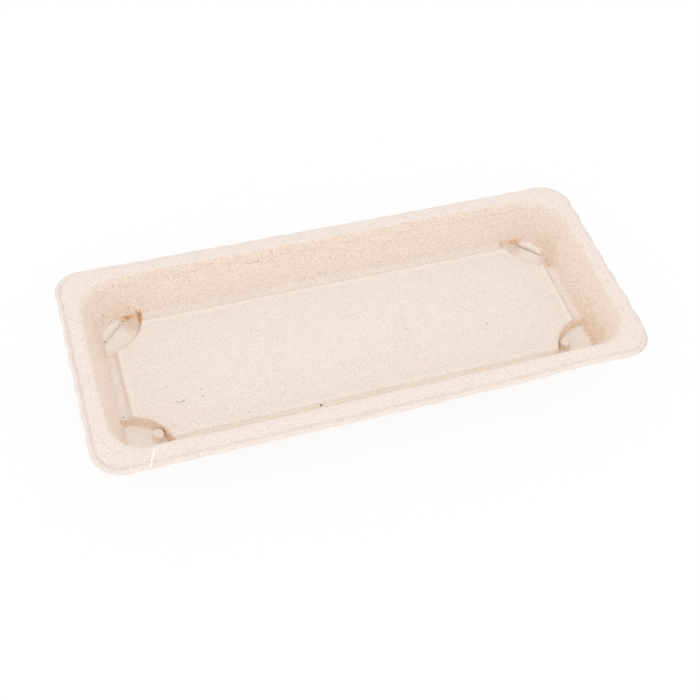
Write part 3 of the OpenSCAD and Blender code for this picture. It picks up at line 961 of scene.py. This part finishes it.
def painted_step_shadow(spot, arm, inset):
    """1 along the foot of the step that cuts off a back pocket's corner, where its shadow is painted."""
    if spot.y < 0:
        return 0
    on_line = rise(abs(arm.x + arm.y - CUT_LINE), CUT_LINE_REACH, 0)
    return on_line * rise(inset, 0, EASE) * rise(spot.z, PANEL_Z, PANEL_Z - EASE)


def painted_shade_at(spot, arm, inset):
    """Painted shade in the crease inside the lip, along the right edge and in the pockets' steps."""
    from_lip, out = from_edge(spot)
    end, side, _ = sides(spot, arm)
    in_crease = band(from_lip, LIP_W, LIP_W + 0.6 * MM, 0.5 * MM)
    on_rim = in_crease * (CREASE_PAINTED_SHADE[end] * out.x ** 2 + CREASE_PAINTED_SHADE[side] * out.y ** 2)
    # Painted shade along the lip's edge at the right end
    on_rim += EDGE_PAINTED_SHADE * rise(from_lip, 1.3 * MM, 0.3 * MM) * max(0, out.x)
    return on_rim * rise(spot.z, PANEL_Z, PANEL_Z + 6 * MM) + STEP_PAINTED_SHADOW_DIM[end] * painted_step_shadow(spot, arm, inset)


def paint(bm, share, underside):
    """Keeps, at each point, the pulp's browning with its painted light and shade, the neutral painted shade
    that dims it, and which side of the sheet it is on.
    """
    painted_shade_and_browning = bm.verts.layers.float.new("painted_shade_and_browning")
    painted_shade = bm.verts.layers.float.new("painted_shade")
    under = bm.verts.layers.float.new("underside")
    bm.normal_update()
    for vert in bm.verts:
        spot = vert.co
        arm = Vector((FOOT_A - abs(spot.x), FOOT_B - abs(spot.y)))
        slope = rise(abs(vert.normal.z), STEEP_START, STEEP_FULL)
        place = (spot, slope, arm, min(arm))
        vert[painted_shade_and_browning] = share * (wall_painted_shading(*place) + floor_painted_shading(*place) + pocket_painted_shading_and_stain(*place))
        vert[painted_shade] = painted_shade_at(spot, arm, min(arm))
        vert[under] = underside


def mouth_easing(spot):
    """How far a point near one of the mouth's round corners is let out and down."""
    arm = Vector((abs(spot.x) - (MOUTH_A - CAVITY_R), abs(spot.y) - (MOUTH_B - CAVITY_R)))
    if min(arm) <= 0:
        return 0
    from_mouth = math.hypot(arm.length - CAVITY_R, spot.z - RIM_Z)
    return MOUTH_EASE * rise(from_mouth, MOUTH_REACH, 0) * math.sin(2 * math.atan2(arm.y, arm.x))


def crease(bm):
    """Presses a groove between lip and flange, bends the rim where it was pushed and softens the mouth."""
    for vert in bm.verts:
        spot = vert.co.copy()
        if spot.z < RIM_Z / 2:
            continue
        inset, out = from_edge(spot)
        vert.co.z -= GROOVE_DEPTH * band(inset, LIP_W, LIP_W + GROOVE_W, GROOVE_EASE) + RIM_ROOM
        vert.co.xy -= out * EDGE_ROOM * rise(inset, SCALLOP_REACH, 0)
        for x, y, reach, push in RIM_PUSHES:
            share = near_spot(vert.co, x * MM, y * MM, reach * MM) * rise(inset, PUSH_DEPTH, 0)
            if push > 0:
                share *= 2 * abs(out.x * out.y)
            vert.co.xy += out * push * MM * share
        eased = mouth_easing(spot)
        vert.co.xy += out * eased
        vert.co.z -= eased


def tray_piece():
    """The whole sheet of pulp: two skins joined round the lip's edge, then left uneven."""
    upper, bm = bmesh.new(), bmesh.new()
    skin(upper, 0)
    skin(bm, PULP)
    paint(upper, 1, 0)
    paint(bm, UNDER_SHARE, 1)
    spare = bpy.data.meshes.new("upper skin")
    upper.to_mesh(spare)
    upper.free()
    bm.from_mesh(spare)
    bpy.data.meshes.remove(spare)
    rim = [edge for edge in bm.edges if edge.is_boundary]
    bmesh.ops.bridge_loops(bm, edges=rim)
    soften_tips(bm)
    crease(bm)
    scallop(bm)
    roughen(bm)
    sag(bm)
    hold_inside(bm)
    return finish_mesh(bm, "tray_pulp")


def add_node(tree, kind, inputs=None, **settings):
    """A node with its settings, and with values or other nodes' outputs at its inputs."""
    made = tree.nodes.new(kind)
    for name, value in settings.items():
        setattr(made, name, value)
    for socket, value in (inputs or {}).items():
        if isinstance(value, bpy.types.NodeSocket):
            tree.links.new(value, made.inputs[socket])
        else:
            made.inputs[socket].default_value = value
    return made


def combine(tree, operation, *values):
    """One number from several, each a value or another node's output, taken one after the other."""
    result = values[0]
    for value in values[1:]:
        result = add_node(tree, "ShaderNodeMath", {0: result, 1: value}, operation=operation).outputs[0]
    return result


def shifted(tree, vector, other, operation="ADD"):
    """A vector with another one added to it or taken away."""
    return add_node(tree, "ShaderNodeVectorMath", {0: vector, 1: other}, operation=operation).outputs[0]


def scaled(tree, vector, share):
    """A vector or a colour times a number."""
    return add_node(tree, "ShaderNodeVectorMath", {0: vector, "Scale": share}, operation="SCALE").outputs[0]


def ranged(tree, value, start, stop, low_end, high_end, eased=True):
    """A value moved from one range to another, and held at its ends."""
    kind = "SMOOTHSTEP" if eased else "LINEAR"
    sockets = {"Value": value, "From Min": start, "From Max": stop, "To Min": low_end, "To Max": high_end}
    return add_node(tree, "ShaderNodeMapRange", sockets, interpolation_type=kind).outputs["Result"]


def speckle(tree, place, kind):
    """Even noise of one kind, from about -1 to 1."""
    size, detail, rough, shift = kind
    sockets = {"Vector": shifted(tree, place, (shift, shift, shift)), "Scale": 1 / size}
    sockets.update({"Detail": detail, "Roughness": rough})
    made = add_node(tree, "ShaderNodeTexNoise", sockets, noise_dimensions="3D")
    return ranged(tree, made.outputs["Fac"], 0.25, 0.75, -1.0, 1.0, eased=False)


def tinted(tree, colour, other, share):
    """A colour part of the way to another."""
    made = add_node(tree, "ShaderNodeMix", data_type="RGBA")
    ends = {"Factor": share, "A": colour, "B": other}
    for socket in made.inputs:
        if socket.enabled and socket.name in ends:
            value = ends[socket.name]
            if isinstance(value, bpy.types.NodeSocket):
                tree.links.new(value, socket)
            else:
                socket.default_value = value if socket.name == "Factor" else (*value, 1)
    return next(socket for socket in made.outputs if socket.enabled)


def dots(tree, place, pitch, size, share):
    """Grains scattered through the pulp, about a pitch apart, of which only a share shows."""
    cells = add_node(tree, "ShaderNodeTexVoronoi", {"Vector": place, "Scale": 1 / pitch}, feature="F1")
    chance = add_node(tree, "ShaderNodeSeparateColor", {"Color": cells.outputs["Color"]}).outputs
    reach = size / pitch
    round_dot = ranged(tree, cells.outputs["Distance"], reach * DOT_CORE, reach, 1.0, 0.0)
    chosen = combine(tree, "LESS_THAN", chance["Red"], share)
    strength = ranged(tree, chance["Green"], 0.0, 1.0, FAINTEST_DOT, 1.0, eased=False)
    return combine(tree, "MULTIPLY", round_dot, chosen, strength)


def mark(tree, place, spot, length, width, turn):
    """A fibre or a grain at one place on the tray: 1 in it and 0 outside."""
    sockets = {"Vector": place, "Location": spot, "Rotation": (0, 0, math.radians(turn)),
               "Scale": (length / 2, width / 2, MARK_DEPTH)}
    local = add_node(tree, "ShaderNodeMapping", sockets, vector_type="TEXTURE").outputs[0]
    reach = add_node(tree, "ShaderNodeVectorMath", {0: local}, operation="LENGTH").outputs["Value"]
    return ranged(tree, reach, MARK_CORE, 1.0, 1.0, 0.0)


def marks(tree, place, rows):
    """All the marks of a list, each with its own strength."""
    total = 0.0
    for x, y, z, length, width, turn, strength in rows:
        spot = (x * MM, y * MM, z * MM)
        one = combine(tree, "MULTIPLY", mark(tree, place, spot, length * MM, width * MM, turn), strength)
        total = combine(tree, "MAXIMUM", one, total)
    return total


def wavered(tree, place):
    """The place of each point, pushed about a little so that the outlines of marks waver."""
    sockets = {"Vector": place, "Scale": 1 / WAVER_SIZE, "Detail": 1.0}
    push = add_node(tree, "ShaderNodeTexNoise", sockets).outputs["Color"]
    centred = shifted(tree, push, (0.5, 0.5, 0.5), "SUBTRACT")
    return shifted(tree, place, scaled(tree, centred, WAVER_REACH))


def fibre_noise(tree, place, blotch):
    """Noise drawn out along fibres that turn from place to place."""
    sockets = {"Vector": place, "Angle": combine(tree, "MULTIPLY", blotch, FIBRE_TURN)}
    turned = add_node(tree, "ShaderNodeVectorRotate", sockets, rotation_type="Z_AXIS").outputs[0]
    stretched = add_node(tree, "ShaderNodeMapping", {"Vector": turned, "Scale": FIBRE_STRETCH}).outputs[0]
    return speckle(tree, stretched, FIBRES)


def pulp_parts(tree):
    """What the finish is made from: the place, what was painted on the mesh, and the noises."""
    place = add_node(tree, "ShaderNodeTexCoord").outputs["Object"]
    parts = {"place": place}
    for name in ("painted_shade_and_browning", "painted_shade", "underside"):
        parts[name] = add_node(tree, "ShaderNodeAttribute", attribute_name=name).outputs["Fac"]
    for name, kind in NOISES.items():
        parts[name] = speckle(tree, place, kind)
    parts["fibres"] = fibre_noise(tree, place, parts["blotch"])
    return parts


def by_brown(tree, parts, name, fresh, browned):
    """One of the parts, by a share that goes from fresh to browned pulp."""
    return combine(tree, "MULTIPLY", parts[name], ranged(tree, parts["painted_shade_and_browning"], 0.0, BROWNED, fresh, browned))


def brow_line(tree, parts):
    """The wavering, darker line below the brow of the back wall."""
    axes = add_node(tree, "ShaderNodeSeparateXYZ", {0: parts["place"]}).outputs
    wavers = [combine(tree, "MULTIPLY", parts[name], reach) for name, reach in STREAK_WAVERS.items()]
    level = combine(tree, "ADD", axes["Z"], *wavers)
    rising = ranged(tree, level, STREAK_Z - STREAK_DOWN, STREAK_Z, 0.0, 1.0)
    falling = ranged(tree, level, STREAK_Z, STREAK_Z + STREAK_UP, 1.0, 0.0)
    strength = ranged(tree, parts["broad"], -0.5, 0.4, *STREAK_BROWN)
    at_back = ranged(tree, axes["Y"], FOOT_B, MOUTH_B, 0.0, 1.0)
    on_wall = ranged(tree, parts["painted_shade_and_browning"], *STREAK_FROM, 0.0, 1.0)
    return combine(tree, "MULTIPLY", rising, falling, strength, at_back, on_wall)


def pulp_colour(tree, parts):
    """The pulp's colour: its browning and painted light and shade, made uneven, pinker or yellower in places,
    with dark grit and the marks.
    """
    raggedness = ranged(tree, parts["painted_shade_and_browning"], *RAGGED_FROM, *RAGGED_SHADE)
    ragged = combine(tree, "MULTIPLY", parts["ragged"], raggedness)
    blotch = by_brown(tree, parts, "blotch", *BLOTCH_SHADE)
    grain = by_brown(tree, parts, "grain", *GRAIN_SHADE)
    shade = combine(tree, "ADD", parts["painted_shade_and_browning"], ragged, blotch, grain, brow_line(tree, parts), FRESH_SHADE)
    ramp = add_node(tree, "ShaderNodeValToRGB", {"Fac": shade})
    stops = ramp.color_ramp.elements
    stops[0].color = (*PALE, 1)
    stops[1].color = (*RED_BROWN, 1)
    for position, colour in MIDDLE_SHADES:
        stops.new(position).color = (*colour, 1)
    pink = ranged(tree, parts["broad"], -0.2, 1.0, 0.0, PINK_CAST)
    yellow = ranged(tree, parts["blotch"], -0.1, -1.0, 0.0, YELLOW_CAST)
    grit = combine(tree, "MULTIPLY", dots(tree, parts["place"], *GRIT_DOTS), GRIT_STRENGTH)
    marked = wavered(tree, parts["place"])
    colour = tinted(tree, ramp.outputs["Color"], PINKISH, pink)
    colour = tinted(tree, colour, YELLOWISH, yellow)
    colour = tinted(tree, colour, GRIT, grit)
    colour = tinted(tree, colour, GRIT, marks(tree, marked, DARK_MARKS))
    return tinted(tree, colour, SCRATCH, marks(tree, marked, PALE_MARKS))


def pulp_lightness(tree, parts):
    """How light the pulp is next to its plain colour: grain and fibres, dust, and the painted shade of the
    dim places.
    """
    grain = by_brown(tree, parts, "grain", *GRAIN_LIGHT)
    fine = by_brown(tree, parts, "fine", *FINE_LIGHT)
    fibres = combine(tree, "MULTIPLY", parts["fibres"], FIBRE_LIGHT)
    light = combine(tree, "MINIMUM", combine(tree, "ADD", grain, fibres, fine, 1.0), LIGHTEST)
    on_walls = ranged(tree, parts["painted_shade_and_browning"], *WALL_DOTS_FROM, 0.0, WALL_DOTS_DIM)
    wall_dots = combine(tree, "MULTIPLY", dots(tree, parts["place"], *WALL_DOTS), on_walls)
    dust = combine(tree, "MULTIPLY", dots(tree, parts["place"], *DUST_DOTS), DUST_DIM)
    # The painted shade of the dim places is taken off here
    return combine(tree, "SUBTRACT", light, dust, wall_dots, parts["painted_shade"])


def pulp_tooth(tree, parts):
    """The height of the pulp's tooth, and of the weave of the wire mesh on the underside."""
    ragged = combine(tree, "MULTIPLY", parts["ragged"], RAGGED_TOOTH)
    fibres = combine(tree, "MULTIPLY", parts["fibres"], FIBRE_TOOTH)
    axes = add_node(tree, "ShaderNodeSeparateXYZ", {0: parts["place"]}).outputs
    wires = []
    for axis in "XY":
        turns = combine(tree, "MULTIPLY", axes[axis], 2 * math.pi / WIRE_PITCH)
        wires.append(add_node(tree, "ShaderNodeMath", {0: turns}, operation="SINE").outputs[0])
    weave = combine(tree, "MULTIPLY", combine(tree, "ADD", *wires), parts["underside"], WIRE_TOOTH)
    return combine(tree, "ADD", parts["grain"], ragged, fibres, weave)


def pressed_pulp():
    """Matt bagasse fibre: cream, with painted shade browning steep faces and crevices, mottled, with grains,
    fibres and a fine tooth.
    """
    material = bpy.data.materials.new("pressed pulp")
    material.use_nodes = True
    tree = material.node_tree
    shader = tree.nodes["Principled BSDF"]
    parts = pulp_parts(tree)
    lit = scaled(tree, pulp_colour(tree, parts), pulp_lightness(tree, parts))
    sockets = {"Height": pulp_tooth(tree, parts), "Distance": TOOTH_HEIGHT, "Strength": TOOTH_STRENGTH}
    bump = add_node(tree, "ShaderNodeBump", sockets)
    tree.links.new(lit, shader.inputs["Base Color"])
    tree.links.new(bump.outputs["Normal"], shader.inputs["Normal"])
    shader.inputs["Roughness"].default_value = ROUGHNESS
    shader.inputs["Specular IOR Level"].default_value = SPECULAR
    return material


def seen_directly(tree):
    """1 for rays from the camera, from a gloss or through glass, and 0 for light that falls on the tray."""
    path = add_node(tree, "ShaderNodeLightPath").outputs
    rays = combine(tree, "ADD", path["Is Camera Ray"], path["Is Glossy Ray"], path["Is Transmission Ray"])
    return combine(tree, "MINIMUM", rays, 1.0)


def mixed(tree, share, one, other):
    """A shader part of the way from one to the other."""
    ends = {0: share, 1: one.outputs[0], 2: other.outputs[0]}
    return add_node(tree, "ShaderNodeMixShader", ends).outputs[0]


def studio_white():
    """A floor that reads as white and still takes a faint shadow."""
    material = bpy.data.materials.new("studio white")
    material.use_nodes = True
    tree = material.node_tree
    tree.nodes.clear()
    share = combine(tree, "MULTIPLY", seen_directly(tree), FLOOR_GLOW)
    matt = add_node(tree, "ShaderNodeBsdfDiffuse", {"Color": (*FLOOR_COLOUR, 1)})
    glow = add_node(tree, "ShaderNodeEmission", {"Color": WHITE, "Strength": 1.0})
    add_node(tree, "ShaderNodeOutputMaterial", {"Surface": mixed(tree, share, matt, glow)})
    return material


def studio_world():
    """Soft white light from all round, a little stronger from the sides, with a plain white backdrop."""
    world = bpy.data.worlds.new("studio")
    bpy.context.scene.world = world
    world.use_nodes = True
    tree = world.node_tree
    tree.nodes.clear()
    aim = add_node(tree, "ShaderNodeTexCoord").outputs["Generated"]
    up = add_node(tree, "ShaderNodeSeparateXYZ", {0: aim}).outputs["Z"]
    strength = ranged(tree, up, 0.0, 1.0, HORIZON_LIGHT, ZENITH_LIGHT, eased=False)
    light = add_node(tree, "ShaderNodeBackground", {"Color": WHITE, "Strength": strength})
    backdrop = add_node(tree, "ShaderNodeBackground", {"Color": WHITE, "Strength": 1.0})
    add_node(tree, "ShaderNodeOutputWorld", {"Surface": mixed(tree, seen_directly(tree), light, backdrop)})


def camera():
    """Looks at the tray from the front left and above, at the photo's angle."""
    data = bpy.data.cameras.new("camera")
    data.lens = LENS
    piece = bpy.data.objects.new("camera", data)
    turn = (AIM - CAMERA_AT).to_track_quat("-Z", "Y").to_matrix() @ Matrix.Rotation(CAMERA_ROLL, 3, "Z")
    piece.matrix_world = Matrix.Translation(CAMERA_AT) @ turn.to_4x4()
    bpy.context.collection.objects.link(piece)
    bpy.context.scene.camera = piece


def floor():
    """A plain floor just under the feet."""
    bm = bmesh.new()
    bmesh.ops.create_grid(bm, x_segments=1, y_segments=1, size=FLOOR_SIZE / 2)
    bmesh.ops.translate(bm, verts=bm.verts, vec=(0, 0, -FLOOR_GAP))
    piece = finish_mesh(bm, "floor")
    piece.data.materials.append(studio_white())


def key_lamp():
    """A large soft lamp over the front left of the tray."""
    data = bpy.data.lights.new("key", "AREA")
    data.shape = "DISK"
    data.size = LAMP_SIZE
    data.energy = LAMP_WATTS
    piece = bpy.data.objects.new("key", data)
    turn = (-LAMP_AT).to_track_quat("-Z", "Y").to_matrix()
    piece.matrix_world = Matrix.Translation(LAMP_AT) @ turn.to_4x4()
    bpy.context.collection.objects.link(piece)


tray = tray_piece()
tray.data.materials.append(pressed_pulp())
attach(tray, "root")
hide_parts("tray")
floor()
camera()
key_lamp()
studio_world()
bpy.context.scene.view_settings.view_transform = "Standard"
